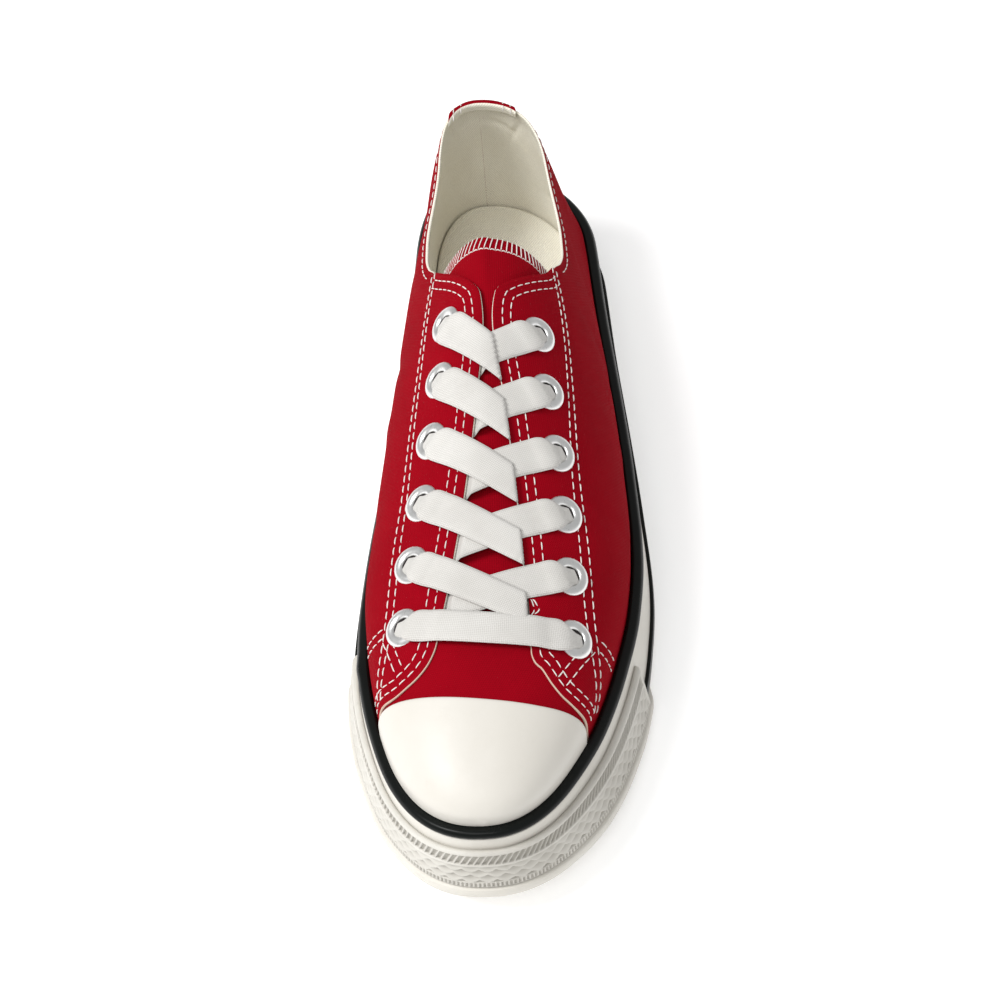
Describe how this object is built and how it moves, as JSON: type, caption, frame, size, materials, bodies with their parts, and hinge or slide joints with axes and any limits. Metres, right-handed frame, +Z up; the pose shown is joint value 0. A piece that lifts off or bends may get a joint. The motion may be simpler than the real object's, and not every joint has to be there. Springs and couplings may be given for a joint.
{
  "type": "canvas sneaker, low-top lace-up",
  "caption": "Low canvas lace-up sneaker for the left foot, with a rubber toe cap, ribbed toe strip, vulcanised side wall and flat laces.",
  "frame": {"origin": "on the floor, under the middle of the shoe's overall length and width", "axes": "+X to the outer (lateral) side of the left foot, -Y to the toe, +Z up"},
  "size_m": [0.0896, 0.2688, 0.0846],
  "materials": {
    "sole_rubber": "matt moulded rubber",
    "insole_fabric": "woven cotton",
    "foxing_rubber": "satin rubber",
    "bumper_rubber": "satin, ribbed rubber",
    "stripe_rubber": "satin rubber",
    "canvas": "matt cotton canvas",
    "cap_rubber": "glossy smooth rubber",
    "lace_cotton": "flat woven cotton",
    "eyelet_metal": "satin aluminium"
  },
  "bodies": {
    "root": {"outsole": "sole_rubber", "insole": "insole_fabric", "foxing": "foxing_rubber", "toe_bumper": "bumper_rubber", "top_stripe": "stripe_rubber", "low_stripe": "stripe_rubber", "upper": "canvas", "toe_cap": "cap_rubber", "heel_strip": "canvas", "tongue": "canvas", "lace": "lace_cotton", "eyelet_medial_1": "eyelet_metal", "eyelet_lateral_1": "eyelet_metal", "eyelet_medial_2": "eyelet_metal", "eyelet_lateral_2": "eyelet_metal", "eyelet_medial_3": "eyelet_metal", "eyelet_lateral_3": "eyelet_metal", "eyelet_medial_4": "eyelet_metal", "eyelet_lateral_4": "eyelet_metal", "eyelet_medial_5": "eyelet_metal", "eyelet_lateral_5": "eyelet_metal", "eyelet_medial_6": "eyelet_metal", "eyelet_lateral_6": "eyelet_metal"}
  },
  "joints": []
}
